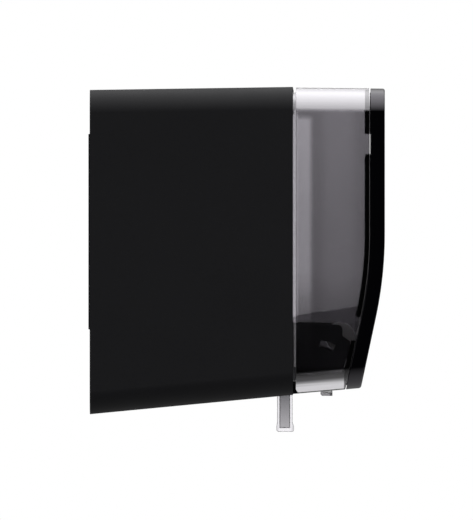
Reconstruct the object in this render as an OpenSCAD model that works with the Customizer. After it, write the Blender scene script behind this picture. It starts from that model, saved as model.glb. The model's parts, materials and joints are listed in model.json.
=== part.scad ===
// Double roll toilet paper dispenser for a wall.
// The origin is the centre of the wall plate's rear face and the wall is the plane y = 0.
// The front faces -y, +z is up, and a depth is a distance in front of the wall. Sizes are in mm.

/* [Housing] */
// Width at the parting line
body_w = 292; // [286:1:300]
// Depth from the wall to the front face
body_d = 180; // [178:0.5:186]
// Height of the housing's top above the origin, at the back
top_z = 86; // [85:0.5:92]
// Depth of the housing's bottom below the origin, at the back
bottom_drop = 110.8; // [110:0.2:114]
// Draft of the housing's top and sides
draft = 0.85; // [0.5:0.05:1]
// Slope of the housing's bottom, higher at the front
bottom_slope = 5.45; // [5:0.05:5.8]
// Radius of the long edges
corner_r = 14; // [10:0.5:16]
// Wall thickness of the housing and the cover
wall_t = 2.6; // [2.2:0.1:2.8]
// Half width of the paper opening in the bottom
outlet_half = 117; // [100:1:118]
// Depth of the rear edge of the paper opening
outlet_back = 50; // [46:1:70]

/* [Wall plate] */
// Width of the wall plate
plate_w = 230; // [216:1:236]
// Height of the wall plate
plate_h = 118.8; // [100:0.2:120]
// Thickness of the wall plate
plate_t = 3; // [2.5:0.1:3.5]
// How far the wall plate stands out behind the housing
proud = 1.1; // [0.8:0.1:1.6]
// Distance between the wall screw holes, across
hole_across = 203.2; // [180:0.2:206]
// Distance between the wall screw holes, up
hole_up = 76.2; // [60:0.2:90]
// Diameter of the wall screw holes
hole_d = 5.2; // [4:0.1:6]

/* [Front cover] */
// Depth of the cover and the face plate together
front_depth = 53.9; // [53:0.1:55]
// Gap between the housing and the cover at the top
reveal_top = 1.8; // [1.5:0.1:2.2]
// Gap between the housing and the cover at the bottom
reveal_bottom = 1.8; // [1.4:0.1:2.2]
// How far the cover's outside lies inside the housing's outside
cover_step = 0.45; // [0:0.05:0.6]
// Draft of the cover's top and sides
cover_draft = 0.57; // [0.3:0.01:0.8]
// Slope of the cover's bottom, higher at the front
cover_slope = 5; // [4:0.1:6]
// Length of the tongue on each side of the cover's rear edge
tongue_len = 5; // [3:0.5:6]
// Thickness of the tongue
tongue_t = 1.25; // [1:0.05:1.6]
// Radius of the hinge knuckles
hinge_r = 3.2; // [2.8:0.1:3.4]
// Radius of the hinge pins
pin_r = 1.5; // [1:0.1:1.8]

/* [Face plate] */
// Depth of the face plate's skirt seen from the side
skirt_depth = 9.1; // [7:0.1:9.5]
// Thickness of the face plate's front
face_t = 3; // [2.5:0.1:3.5]
// How far the inner rim reaches behind the skirt
rim_depth = 2.7; // [2:0.1:3.2]
// Thickness of the inner rim
rim_t = 1.8; // [1.4:0.1:2]
// Height at which the front begins to bend inwards
bend_z = -1.5; // [-10:0.5:10]
// Radius of the bend
bend_r = 240; // [200:1:260]
// Lean of the lower front
front_lean = 12; // [10:0.1:12.4]

/* [Roll holders] */
// Depth of the roll axis
axis_d = 85; // [80:0.5:90]
// Height of the roll axis
axis_z = 4; // [0:0.5:10]
// Radius of the hub flange
hub_r = 17; // [15:0.5:19]
// Radius of the hub nose at its root
nose_r = 14; // [12.5:0.5:14.5]
// Length of the hub from its back to its tip
hub_len = 11.5; // [10.5:0.5:13]
// Radius of the axles the hubs turn on
axle_r = 4; // [3:0.1:4.5]
// Radius of the plungers in their sleeve
plunger_r = 12; // [11.5:0.1:12.5]
// Travel of each plunger
plunger_travel = 8.6; // [7:0.1:8.6]
// Radius of the spring wire
wire_r = 0.5; // [0.4:0.05:0.6]
// Turns of each spring
spring_turns = 6; // [5:1:7]

/* [Sliding door] */
// Length of the door along the rod
door_len = 127; // [110:1:130]
// Thickness of the door
door_t = 2.2; // [1.8:0.1:2.4]
// Gap between the door's floor and the rear rail
door_lift = 1.05; // [0.8:0.05:1.6]
// How far the guide rod's axis lies in front of the cover's rear edge
rod_ahead = 27; // [26:0.1:27.5]
// Height of the guide rod's axis below the origin
rod_drop = 64.2; // [63.5:0.1:65]
// Radius of the guide rod
rod_r = 8.8; // [8:0.1:8.9]
// Width of the lever along the rod
lever_w = 24; // [16:1:40]
// How far the lever's rear face lies behind the cover's rear edge
lever_behind = 11.5; // [10.7:0.1:13]
// Thickness of the lever from back to front
lever_t = 9.3; // [8:0.1:9.4]
// How far the lever's foot reaches below the origin
lever_drop = 121.8; // [118:0.2:124]

/* [Tear bar] */
// How far the tear bar's rear face lies in front of the cover's rear edge
tear_ahead = 14.9; // [14:0.1:16]
// How far the teeth reach in front of that face
tear_reach = 7.3; // [6:0.1:8]
// How far the tear bar hangs below the cover's underside
tear_hang = 2.8; // [2.5:0.1:2.9]
// Distance between the teeth
tooth_pitch = 4; // [3:0.5:6]

/* [Lock] */
// How far the lock's axis lies behind the cover's rear edge
lock_behind = 26.1; // [24:0.5:32]
// Radius of the lock barrel
barrel_r = 6.4; // [5:0.1:6.6]
// Reach of the cam from the lock's axis
cam_reach = 24; // [22.5:0.5:26]

/* [Hidden] */
$fn = 64;
BLACK = [0.10, 0.10, 0.105];
GLOSS_BLACK = [0.02, 0.02, 0.025];
SMOKE = [0.42, 0.42, 0.43];
DARK_SMOKE = [0.18, 0.18, 0.19];
CLEAR = [0.62, 0.62, 0.64];
GREY = [0.62, 0.62, 0.61];
STEEL = [0.70, 0.70, 0.72];

// Clearances
fit = 0.05;
loose = 0.3;
eps = 0.01;

// Shells
half_w = body_w / 2;
cover_back = body_d - front_depth;
facets = 10;
far = 400;
hinge_d = cover_back + hinge_r;
hinge_z = cover_bottom(hinge_d) + hinge_r + fit;
back_in = proud + wall_t;
recess_d = plate_t + fit;
pad_border = 4;
pad_d = recess_d + wall_t;
tongue_gap = 0.35;
tongue_low = -82;
tongue_root = 1.4;
rim_gap = 0.1;
plate_gap = 0.4;
notch_upper = [47, 60.8, 0.4];
notch_lower = [-66, -52, 0];
bend_steps = 12;

// Places across, counted from the middle
tongue_in = half_w - cover_step - wall_t - tongue_gap - tongue_t;
bracket_t = 3.7;
bracket_gap = 1.45;
bracket_x = tongue_in - bracket_gap - bracket_t;
cheek_t = 3;
cheek_x = bracket_x - cheek_t;
door_gap = 0.7;
door_left = -cheek_x + door_gap;
door_travel = -2 * door_left - door_len;
door_mid = door_left + door_len / 2;
ear_t = 6;
ear_x = outlet_half + 2;
knuckle_x = ear_x + ear_t + loose;
knuckle_t = 6;

// Roll holders
web_half = 1.25;
sleeve_half = 13;
sleeve_r = plunger_r + 3.5;
cap_end = sleeve_half + 2.5;
collar_t = 2.6;
collar_out = sleeve_half - 0.2;
neck_r = plunger_r - 2.1;
neck_end = cap_end + plunger_travel + loose;
pocket_r = neck_r - 1.6;
pocket_end = neck_end - 4;
spring_r = pocket_r - 0.9 - wire_r;
spring_start = web_half + wire_r + fit;
spring_end = pocket_end - wire_r - fit;
flange_t = 2.8;
clip_t = 0.8;
clip_at = 8.7;
inner_hub_x = neck_end + loose;
outer_hub_x = cheek_x - loose;

// Carrier
carrier_d = 8;
carrier_t = 3;
carrier_front = carrier_d + carrier_t;
carrier_top = 70;
carrier_low = -52;
post_x = cheek_x - 7.5;
post_r = 5;
post_zs = [58, -44];
flange_w = 12;
cheek_zs = [36, -22];
cheek_front = cover_back - 8.1;
cheek_lower = cheek_front - 6;
arm_zs = [axis_z + 24, axis_z - 24];
arm_screw_x = 18;
arm_t = 10;
arm_root = 22;
arm_tip = 12;
rail_d = 39;
rail_w = 9;
rail_low = housing_bottom(rail_d) + wall_t + 4.6;
rail_h = 8.8;
rail_top = rail_low + rail_h;
rail_screw_z = rail_low + 2.2;
groove_low = rail_low + 4.5;

// Rod and door
rod_d = cover_back + rod_ahead;
rod_z = -rod_drop;
rod_end = bracket_x - fit;
rod_pin_r = 2.2;
rod_pin_len = bracket_t - 1.4;
rod_pin_d = rod_d + 2.2;
rod_pin_z = rod_z - 6;
curl_r = rod_r + 0.5;
curl_out = curl_r + door_t;
door_slope = atan((rod_z - curl_out - rail_top - door_lift) / (rod_d - rail_d));
lever_back = cover_back - lever_behind;
tear_back = cover_back + tear_ahead;
lever_x = door_mid - lever_w / 2;
lever_wall = 1.6;
lever_mid_d = lever_back + lever_t / 2;

// Screws
screw_r = 1.5;
screw_head_r = 3.2;
screw_head_h = 1.9;
bracket_back = cover_back - 40;
slot_rs = [16.7, 21.2];
slot_ends = [60, 86, 90];
bracket_screw_at = [[bracket_back + 7, rod_z + 2.2], [bracket_back + 20, rod_z - 13.8]];

// Lock
lock_d = cover_back - lock_behind;
lock_top = housing_top(lock_d) - 0.4;
flange_low = lock_top - 1;
sleeve_out = barrel_r + 2.6;
sleeve_low = 70;
nut_top = housing_top(lock_d - 16) - wall_t - fit;
nut_h = 4;
cam_t = 3;
cam_top = sleeve_low - loose;
cam_low = cam_top - cam_t;
cam_half = 4.5;
hook_x = sleeve_out + 3;
hook_w = 10;
hook_front = lock_d - cam_half - 0.6;
hook_t = 4;
hook_top = 75;

function arc(c, r, a0, a1, n) =
    [for (i = [0 : n]) let (a = a0 + (a1 - a0) * i / n) [c[0] + r * cos(a), c[1] + r * sin(a)]];

// Outside of the housing and of the cover at a depth, as half width, bottom, top and edge radius
function housing_half(d) = half_w - (cover_back - d) * tan(draft);
function housing_top(d) = top_z + (d - proud) * tan(draft);
function housing_bottom(d) = -bottom_drop + (d - proud) * tan(bottom_slope);
function housing_at(d) = [housing_half(d), housing_bottom(d), housing_top(d), corner_r];
function cover_half(d) = half_w - cover_step - (d - cover_back) * tan(cover_draft);
function cover_top(d) = housing_top(cover_back) - cover_step - (d - cover_back) * tan(cover_draft);
function cover_bottom(d) =
    housing_bottom(cover_back) + cover_step + (d - cover_back) * tan(cover_slope);
function cover_at(d) = [cover_half(d), cover_bottom(d), cover_top(d), corner_r];
function inset(s, t) = [s[0] - t, s[1] + t, s[2] - t, s[3] - t];

// Outline of a rounded section, seen from the front
function section(s) = let (x = s[0] - s[3], low = s[1] + s[3], high = s[2] - s[3]) concat(
    arc([x, high], s[3], 0, 90, facets),
    arc([-x, high], s[3], 90, 180, facets),
    arc([-x, low], s[3], 180, 270, facets),
    arc([x, low], s[3], 270, 360, facets));

// Side outline of everything behind the front face moved back by a distance
function front_end(off) = [
    bend_r - body_d - (bend_r - off) * cos(front_lean),
    bend_z - (bend_r - off) * sin(front_lean)];
function front_points(off) = concat(
    [[off - body_d, far]],
    arc([bend_r - body_d, bend_z], bend_r - off, 180, 180 + front_lean, bend_steps),
    [front_end(off) + far * [sin(front_lean), -cos(front_lean)], [far, -far], [far, far]]);

// Underside of the door's floor at a depth
function door_low(d) = rod_z - curl_out / cos(door_slope) - (rod_d - d) * tan(door_slope);

module loft(d0, s0, d1, s1) {
    back = section(s0);
    front = section(s1);
    n = len(back);
    polyhedron(
        points = concat([for (p = back) [p[0], -d0, p[1]]], [for (p = front) [p[0], -d1, p[1]]]),
        faces = concat(
            [[for (i = [0 : n - 1]) i], [for (i = [n - 1 : -1 : 0]) n + i]],
            [for (i = [0 : n - 1]) [n + i, n + (i + 1) % n, i]],
            [for (i = [0 : n - 1]) [n + (i + 1) % n, (i + 1) % n, i]]));
}

// A side outline of depths and heights, made solid from x over a thickness
module side_plate(x, t, points) {
    translate([x, 0, 0])
        rotate([90, 0, 90])
            linear_extrude(t)
                polygon([for (p = points) [-p[0], p[1]]]);
}

module behind_front(off) {
    translate([-body_w, 0, 0])
        rotate([90, 0, 90])
            linear_extrude(2 * body_w)
                polygon(front_points(off));
}

module box(x0, x1, d0, d1, z0, z1) {
    translate([x0, -d1, z0])
        cube([x1 - x0, d1 - d0, z1 - z0]);
}

module rod_x(x0, x1, d, z, r) {
    translate([x0, -d, z])
        rotate([0, 90, 0])
            cylinder(h = x1 - x0, r = r);
}

module rod_y(x, z, d0, d1, r) {
    translate([x, -d0, z])
        rotate([90, 0, 0])
            cylinder(h = d1 - d0, r = r);
}

module both() {
    children();
    mirror([1, 0, 0])
        children();
}

module left() {
    mirror([1, 0, 0])
        children();
}

// A screw with its head standing on the origin and its shank below it
module screw(len) {
    difference() {
        union() {
            cylinder(h = screw_head_h, r = screw_head_r);
            translate([0, 0, -len])
                cylinder(h = len + eps, r = screw_r);
        }
        translate([-2, -0.4, screw_head_h - 1])
            cube([4, 0.8, 2]);
        translate([-0.4, -2, screw_head_h - 1])
            cube([0.8, 4, 2]);
    }
}

module screw_y(x, z, d, len) {
    translate([x, -d, z])
        rotate([90, 0, 0])
            screw(len);
}

module screw_x(x, d, z, len) {
    translate([x, -d, z])
        rotate([0, 90, 0])
            screw(len);
}

module at_wall_holes() {
    for (x = [-1, 1], z = [-1, 1])
        translate([x * hole_across / 2, 0, z * hole_up / 2])
            children();
}

module wall_plate() {
    color(BLACK)
        difference() {
            box(-plate_w / 2, plate_w / 2, 0, plate_t, -plate_h / 2, plate_h / 2);
            at_wall_holes()
                rod_y(0, 0, -1, plate_t + 1, hole_d / 2);
        }
}

// Ear of the housing that carries the cover's hinge pin
module hinge_ear() {
    root = cover_back - 16;
    low = housing_bottom(root) + 0.8;
    side_plate(ear_x, ear_t, concat(
        [[root, low], [root, low + 6]],
        arc([hinge_d, hinge_z], hinge_r, 90, -90, 12)));
}

module rear_housing() {
    back_half = plate_w / 2 + pad_border;
    back_up = plate_h / 2 + pad_border;
    color(BLACK)
        difference() {
            union() {
                difference() {
                    loft(proud, housing_at(proud), cover_back, housing_at(cover_back));
                    loft(back_in, inset(housing_at(back_in), wall_t),
                        cover_back + 1, inset(housing_at(cover_back + 1), wall_t));
                    side_plate(-body_w, 2 * body_w, [
                        [cover_back - reveal_top, 2 * top_z], [cover_back - reveal_top, top_z],
                        [cover_back - reveal_bottom, housing_bottom(cover_back)],
                        [cover_back - reveal_bottom, -2 * top_z], [far, -2 * top_z], [far, 2 * top_z]]);
                    box(-outlet_half, outlet_half, outlet_back, cover_back + 1, -far, -80);
                }
                box(-back_half, back_half, back_in - eps, pad_d, -back_up, back_up);
                both()
                    for (z = post_zs)
                        rod_y(post_x, z, back_in - eps, carrier_d, post_r);
                both()
                    hinge_ear();
            }
            box(-plate_w / 2 - fit, plate_w / 2 + fit, 0, recess_d, -plate_h / 2 - fit, plate_h / 2 + fit);
            at_wall_holes()
                rod_y(0, 0, 0, pad_d + 1, hole_d / 2 + 0.8);
            both()
                for (z = post_zs)
                    rod_y(post_x, z, proud + 1, carrier_d + 1, screw_r + fit);
            both()
                rod_x(ear_x - 1, ear_x + ear_t + 1, hinge_d, hinge_z, pin_r + fit);
            translate([0, -lock_d, 0]) {
                cylinder(h = far, r = sleeve_out + fit);
                translate([0, 0, flange_low])
                    cylinder(h = far, r = sleeve_out + 2.5 + loose);
            }
        }
}

module carrier_back() {
    color(GREY)
        difference() {
            box(-cheek_x - cheek_t, cheek_x + cheek_t, carrier_d, carrier_front, carrier_low, carrier_top);
            at_wall_holes()
                rod_y(0, 0, carrier_d - 1, carrier_front + 1, 9);
            both() {
                for (z = post_zs)
                    rod_y(post_x, z, carrier_d - 1, carrier_front + 1, screw_r + fit);
                for (z = cheek_zs)
                    rod_y(cheek_x - flange_w / 2, z, carrier_d - 1, carrier_front + 1, screw_r + fit);
                for (z = arm_zs)
                    rod_y(arm_screw_x, z, carrier_d - 1, carrier_front + 1, screw_r + fit);
            }
        }
}

// Side plate of the roll carrier, on the right
module cheek() {
    difference() {
        union() {
            side_plate(cheek_x, cheek_t, [[carrier_front, carrier_top], [cheek_front - 3, carrier_top],
                [cheek_front, carrier_top - 3], [cheek_front, rod_z + 14.6], [cheek_lower, rod_z + 11.2],
                [cheek_lower, rod_z - 22.8], [rail_d + 21, rail_low + 1.2], [rail_d - 11, rail_low - 1],
                [rail_d - 11, carrier_low], [carrier_front, carrier_low]]);
            box(cheek_x - flange_w, cheek_x + eps, carrier_front, carrier_front + cheek_t, -34, 48);
        }
        for (z = cheek_zs)
            rod_y(cheek_x - flange_w / 2, z, carrier_front - 1, carrier_front + 9, screw_r + fit);
        rod_x(cheek_x - 1, cheek_x + 9, axis_d, axis_z, axle_r + fit);
        rod_x(cheek_x - 1, cheek_x + 9, rail_d, rail_screw_z, screw_r + fit);
        for (p = bracket_screw_at)
            rod_x(cheek_x - 1, cheek_x + 9, p[0], p[1], screw_r + fit);
    }
}

module cheek_right() {
    color(GREY)
        cheek();
}

module cheek_left() {
    color(GREY)
        left()
            cheek();
}

module centre_arm() {
    base_half = 24;
    base_up = 31;
    color(GREY)
        difference() {
            union() {
                box(-base_half, base_half, carrier_front, carrier_front + 3, axis_z - base_up, axis_z + base_up);
                side_plate(-arm_t / 2, arm_t, [
                    [carrier_front + 2, axis_z + arm_root], [axis_d, axis_z + arm_tip],
                    [axis_d, axis_z - arm_tip], [carrier_front + 2, axis_z - arm_root]]);
                rod_x(-sleeve_half, sleeve_half, axis_d, axis_z, sleeve_r);
            }
            both() {
                rod_x(web_half, sleeve_half + 1, axis_d, axis_z, plunger_r + fit);
                for (z = arm_zs)
                    rod_y(arm_screw_x, z, carrier_front - 1, carrier_front + 9, screw_r + fit);
            }
        }
}

// Collar that keeps a plunger in the sleeve, on the right
module sleeve_cap() {
    difference() {
        rod_x(sleeve_half - 5, cap_end, axis_d, axis_z, sleeve_r + 2.2);
        rod_x(sleeve_half - 6, sleeve_half + fit, axis_d, axis_z, sleeve_r + fit);
        rod_x(sleeve_half - 6, cap_end + 1, axis_d, axis_z, neck_r + 0.1);
    }
}

module sleeve_cap_right() {
    color(GREY)
        sleeve_cap();
}

module sleeve_cap_left() {
    color(GREY)
        left()
            sleeve_cap();
}

// Sprung plunger that carries an inner hub, on the right
module plunger() {
    difference() {
        union() {
            rod_x(collar_out - collar_t, collar_out, axis_d, axis_z, plunger_r);
            rod_x(collar_out - eps, neck_end, axis_d, axis_z, neck_r);
            rod_x(neck_end - eps, inner_hub_x + clip_at + clip_t, axis_d, axis_z, axle_r);
        }
        rod_x(0, pocket_end, axis_d, axis_z, pocket_r);
    }
}

module plunger_right() {
    color(GREY)
        plunger();
}

module plunger_left() {
    color(GREY)
        left()
            plunger();
}

// Spring wire: rings of six points round a coil of eight rings a turn, with straight ends
steps = spring_turns * 8;
coil_pitch = (spring_end - spring_start) / spring_turns;
function coil_a(i) = 45 * i;
function coil_at(i) = [
    spring_start + coil_pitch * i / 8,
    -axis_d + spring_r * cos(coil_a(i)),
    axis_z + spring_r * sin(coil_a(i))];
function coil_along(i) = [0, -sin(coil_a(i)), cos(coil_a(i))];
function coil_ring(p, i) =
    [for (k = [0 : 5]) p + wire_r * [sin(60 * k), cos(60 * k) * cos(coil_a(i)), cos(60 * k) * sin(coil_a(i))]];
coil_points = concat(
    coil_ring(coil_at(0) - 2 * wire_r * coil_along(0), 0),
    [for (i = [0 : steps]) for (p = coil_ring(coil_at(i), i)) p],
    coil_ring(coil_at(steps) + 2 * wire_r * coil_along(steps), steps));
coil_rings = steps + 3;
coil_gap = min([for (i = [0 : steps - 8]) for (j = [i + 6 : min(i + 10, steps)])
    norm(coil_at(i) - coil_at(j))]) - 2 * wire_r;
echo("least gap of a spring to itself, mm", coil_gap);

module hub_spring() {
    polyhedron(
        points = coil_points,
        faces = concat(
            [[for (k = [0 : 5]) k], [for (k = [5 : -1 : 0]) 6 * (coil_rings - 1) + k]],
            [for (i = [0 : coil_rings - 2], k = [0 : 5])
                [6 * i + k, 6 * (i + 1) + k, 6 * (i + 1) + (k + 1) % 6]],
            [for (i = [0 : coil_rings - 2], k = [0 : 5])
                [6 * i + k, 6 * (i + 1) + (k + 1) % 6, 6 * i + (k + 1) % 6]]));
}

module hub_spring_right() {
    color(STEEL)
        hub_spring();
}

module hub_spring_left() {
    color(STEEL)
        left()
            hub_spring();
}

// Hub pushed into the end of a roll, its back on the origin and its tip towards +x
module hub() {
    translate([0, -axis_d, axis_z])
        rotate([0, 90, 0])
            difference() {
                union() {
                    cylinder(h = flange_t, r = hub_r);
                    translate([0, 0, flange_t - eps])
                        cylinder(h = hub_len - flange_t + eps, r1 = nose_r, r2 = nose_r - 1.5);
                }
                translate([0, 0, -1])
                    cylinder(h = hub_len, r = axle_r + fit);
                translate([0, 0, clip_at - fit])
                    cylinder(h = hub_len, r = axle_r + 4);
                for (a = [0 : 60 : 300])
                    rotate([0, 0, a])
                        translate([axle_r + 5, -1.5, clip_at - 3])
                            cube([2.5, 3, hub_len]);
            }
}

// Push-on ring that keeps a hub on its axle
module clip() {
    translate([clip_at, -axis_d, axis_z])
        rotate([0, 90, 0])
            difference() {
                cylinder(h = clip_t, r = axle_r + 3.2);
                translate([0, 0, -1])
                    cylinder(h = 3, r = axle_r + 0.02);
            }
}

module inner_hub_right() {
    color(GREY)
        translate([inner_hub_x, 0, 0])
            hub();
}

module inner_hub_left() {
    color(GREY)
        left()
            translate([inner_hub_x, 0, 0])
                hub();
}

module inner_clip_right() {
    color(STEEL)
        translate([inner_hub_x, 0, 0])
            clip();
}

module inner_clip_left() {
    color(STEEL)
        left()
            translate([inner_hub_x, 0, 0])
                clip();
}

module outer_axles() {
    color(STEEL)
        both() {
            rod_x(outer_hub_x - clip_at - clip_t, cheek_x + cheek_t + eps, axis_d, axis_z, axle_r);
            rod_x(cheek_x + cheek_t, cheek_x + cheek_t + 1.8, axis_d, axis_z, axle_r + 3);
        }
}

module outer_hub_left() {
    color(GREY)
        translate([-outer_hub_x, 0, 0])
            hub();
}

module outer_hub_right() {
    color(GREY)
        left()
            translate([-outer_hub_x, 0, 0])
                hub();
}

module outer_clips() {
    color(STEEL)
        both()
            translate([-outer_hub_x, 0, 0])
                clip();
}

// Black block that carries an end of the guide rod, on the right
module rail_bracket() {
    slot = [rod_d - 13.3, rod_z - 23];
    difference() {
        side_plate(bracket_x, bracket_t, concat(
            [[bracket_back, rod_z + 8.8], [cover_back, rod_z + 8.8]],
            arc([rod_d - 1.8, rod_z + 4.8], 3, 80, 0, 6),
            [for (p = [[1.2, 1], [6.1, -2.4], [5.5, -7.8], [3.2, -13.8], [2.1, -18.4], [1.5, -19.2]])
                [rod_d, rod_z] + p],
            [[cover_back, rod_z - 21.4], [cover_back, rod_z - 26.4], [bracket_back, rod_z - 26.8]]));
        side_plate(bracket_x - 1, bracket_t + 2, concat(
            arc(slot, slot_rs[1], slot_ends[0], slot_ends[1], 8),
            arc(slot, slot_rs[0], slot_ends[2], slot_ends[0], 8)));
        rod_x(bracket_x - 1, bracket_x + rod_pin_len, rod_pin_d, rod_pin_z, rod_pin_r + fit);
        for (p = bracket_screw_at)
            rod_x(bracket_x - 1, bracket_x + 9, p[0], p[1], screw_r + fit);
    }
}

module rail_bracket_right() {
    color(BLACK)
        rail_bracket();
}

module rail_bracket_left() {
    color(BLACK)
        left()
            rail_bracket();
}

// Round rod the door slides on, held by off-centre pins so that it can't turn
module guide_rod() {
    color(GREY)
        union() {
            rod_x(-rod_end, rod_end, rod_d, rod_z, rod_r);
            both()
                rod_x(rod_end - eps, rod_end + rod_pin_len, rod_pin_d, rod_pin_z, rod_pin_r);
        }
}

module rear_rail() {
    color(GREY)
        difference() {
            box(-cheek_x + fit, cheek_x - fit, rail_d - rail_w / 2, rail_d + rail_w / 2,
                rail_low, rail_low + rail_h);
            box(-far, far, rail_d - door_t / 2 - 0.4, rail_d + door_t / 2 + 0.4, groove_low, far);
            both()
                rod_x(cheek_x - 9, cheek_x + 1, rail_d, rail_screw_z, screw_r + fit);
        }
}

// Door that closes the paper opening under one roll
module sliding_door() {
    floor_rise = door_t / cos(door_slope);
    skirt = [rail_d - door_t / 2, rail_d + door_t / 2];
    flange_low = groove_low + 0.5;
    color(DARK_SMOKE)
        difference() {
            union() {
                side_plate(door_left, door_len, concat(
                    [[skirt[0], door_low(skirt[0]) + floor_rise]],
                    arc([rod_d, rod_z], curl_r, -90 + door_slope, 0, 10),
                    arc([rod_d, rod_z], curl_out, 0, -90 + door_slope, 10),
                    [[skirt[1], door_low(skirt[1])], [skirt[1], flange_low], [skirt[0], flange_low]]));
                for (x = [door_left, door_left + door_len - door_t])
                    side_plate(x, door_t, concat(
                        [[skirt[0], door_low(skirt[0])], [skirt[0], rail_top + 6]],
                        [for (p = [[-66, -13.3], [-36, -3.8], [-14, 4.2], [0.3, 13.3]]) [cover_back, rod_z] + p],
                        [for (p = [[9.7, 18.8], [15.2, 19.6], [12.8, 3]]) [rod_d, rod_z] + p],
                        arc([rod_d, rod_z], curl_out, 0, -90 + door_slope, 10)));
            }
            rod_x(-far, far, rod_d, rod_z, rod_r + 0.35);
            for (x = [-7, 7])
                translate([door_mid + x, -lever_mid_d, door_low(lever_mid_d)])
                    rotate([-door_slope, 0, 0])
                        translate([0, 0, -1])
                            cylinder(h = 9, r = screw_r + fit);
        }
}

// Clear lever with a pocket in each end and a wider foot
module slide_lever() {
    front = lever_back + lever_t;
    foot = -lever_drop;
    pocket = [
        [lever_back + lever_wall, foot + 2.5], [front - lever_wall, foot + 2.5],
        [front - lever_wall, foot + 34], [lever_back + lever_wall, foot + 34]];
    color(CLEAR)
        difference() {
            side_plate(lever_x, lever_w, [
                [lever_back, door_low(lever_back)], [lever_back, foot + 5.6], [lever_back - 0.45, foot + 3.6],
                [lever_back - 0.45, foot + 0.8], [lever_back + 0.4, foot], [front + 0.4, foot],
                [front + 0.85, foot + 0.8], [front + 0.85, foot + 3.6], [front, foot + 5.6],
                [front, door_low(front)]]);
            side_plate(lever_x - 1, lever_w / 2 - 0.2, pocket);
            side_plate(lever_x + lever_w / 2 + 1.2, lever_w, pocket);
            for (x = [-7, 7])
                translate([door_mid + x, -lever_mid_d, door_low(lever_mid_d)])
                    rotate([-door_slope, 0, 0])
                        translate([0, 0, -4.5])
                            cylinder(h = 9, r = screw_r + fit);
        }
}

module lever_screws() {
    color(STEEL)
        for (x = [-7, 7])
            translate([door_mid + x, -lever_mid_d, door_low(lever_mid_d)])
                rotate([-door_slope, 0, 0])
                    translate([0, 0, door_t])
                        screw(door_t + 4);
}

module at_lock() {
    translate([0, -lock_d, 0])
        children();
}

module lock_sleeve() {
    color(STEEL)
        at_lock()
            difference() {
                union() {
                    translate([0, 0, sleeve_low])
                        cylinder(h = lock_top - sleeve_low, r = sleeve_out);
                    translate([0, 0, flange_low])
                        cylinder(h = lock_top - flange_low, r = sleeve_out + 2.5);
                }
                cylinder(h = far, r = barrel_r + fit);
            }
}

module lock_nut() {
    color(STEEL)
        at_lock()
            translate([0, 0, nut_top - nut_h])
                difference() {
                    cylinder(h = nut_h, r = sleeve_out + 4, $fn = 6);
                    translate([0, 0, -1])
                        cylinder(h = nut_h + 2, r = sleeve_out + fit);
                }
}

// Barrel with its key slot; the square end below carries the cam
module lock_barrel() {
    color(STEEL)
        at_lock()
            difference() {
                union() {
                    translate([0, 0, sleeve_low])
                        cylinder(h = lock_top - 0.2 - sleeve_low, r = barrel_r);
                    translate([-3, -3, cam_low])
                        cube([6, 6, cam_t + 1]);
                }
                translate([-0.8, -3.5, lock_top - 9])
                    cube([1.6, 7, 20]);
                translate([0, 0, cam_low - 1])
                    cylinder(h = 7, r = screw_r + fit);
            }
}

// Cam, pointing forwards while unlocked
module lock_cam() {
    color(STEEL)
        at_lock()
            translate([0, 0, cam_low])
                difference() {
                    union() {
                        cylinder(h = cam_t, r = 7.5);
                        translate([-cam_half, -cam_reach, 0])
                            cube([2 * cam_half, cam_reach, cam_t]);
                    }
                    translate([-3 - fit, -3 - fit, -1])
                        cube([6 + 2 * fit, 6 + 2 * fit, cam_t + 2]);
                }
}

module cam_screw() {
    color(STEEL)
        at_lock()
            translate([0, 0, cam_low - fit])
                rotate([180, 0, 0])
                    union() {
                        cylinder(h = 1.9, r = 5.2);
                        translate([0, 0, -5])
                            cylinder(h = 5.5, r = screw_r);
                    }
}

// Inside and outside of the cover and the face plate, from a depth forwards, moved in by a distance
module cover_block(d, t) {
    loft(d, inset(cover_at(d), t), body_d + 5, inset(cover_at(body_d + 5), t));
}

module tongue() {
    s = cover_at(cover_back);
    outer = inset(s, wall_t + tongue_gap);
    root = inset(s, wall_t - loose);
    inner = inset(s, wall_t + tongue_gap + tongue_t);
    difference() {
        union() {
            loft(cover_back - tongue_len, outer, cover_back + tongue_root, outer);
            loft(cover_back + 0.3, root, cover_back + tongue_root, root);
        }
        loft(cover_back - tongue_len - 1, inner, cover_back + tongue_root + 1, inner);
        box(-far, far, 0, far, -far, tongue_low);
    }
}

// Hook of the cover that the lock's cam holds
module catch() {
    web = [cover_back - tongue_len, cover_back - 1];
    tongue_mid = cover_top(cover_back) - wall_t - tongue_gap - tongue_t / 2;
    box(hook_x, hook_x + hook_w, hook_front - hook_t, web[1], hook_top - 3, hook_top);
    box(hook_x, hook_x + hook_w, hook_front - hook_t, hook_front, cam_low - 1.5, hook_top - 1);
    box(hook_x, hook_x + hook_w, web[0], web[1], hook_top - 1, tongue_mid);
}

module knuckle() {
    side_plate(knuckle_x, knuckle_t, concat(
        arc([hinge_d, hinge_z], hinge_r, 90, 270, 16),
        [[hinge_d + 8, cover_bottom(hinge_d + 8) + 0.5],
            [hinge_d + 8, cover_bottom(hinge_d + 8) + wall_t + 0.5], [hinge_d + 2, hinge_z + hinge_r]]));
}

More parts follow.
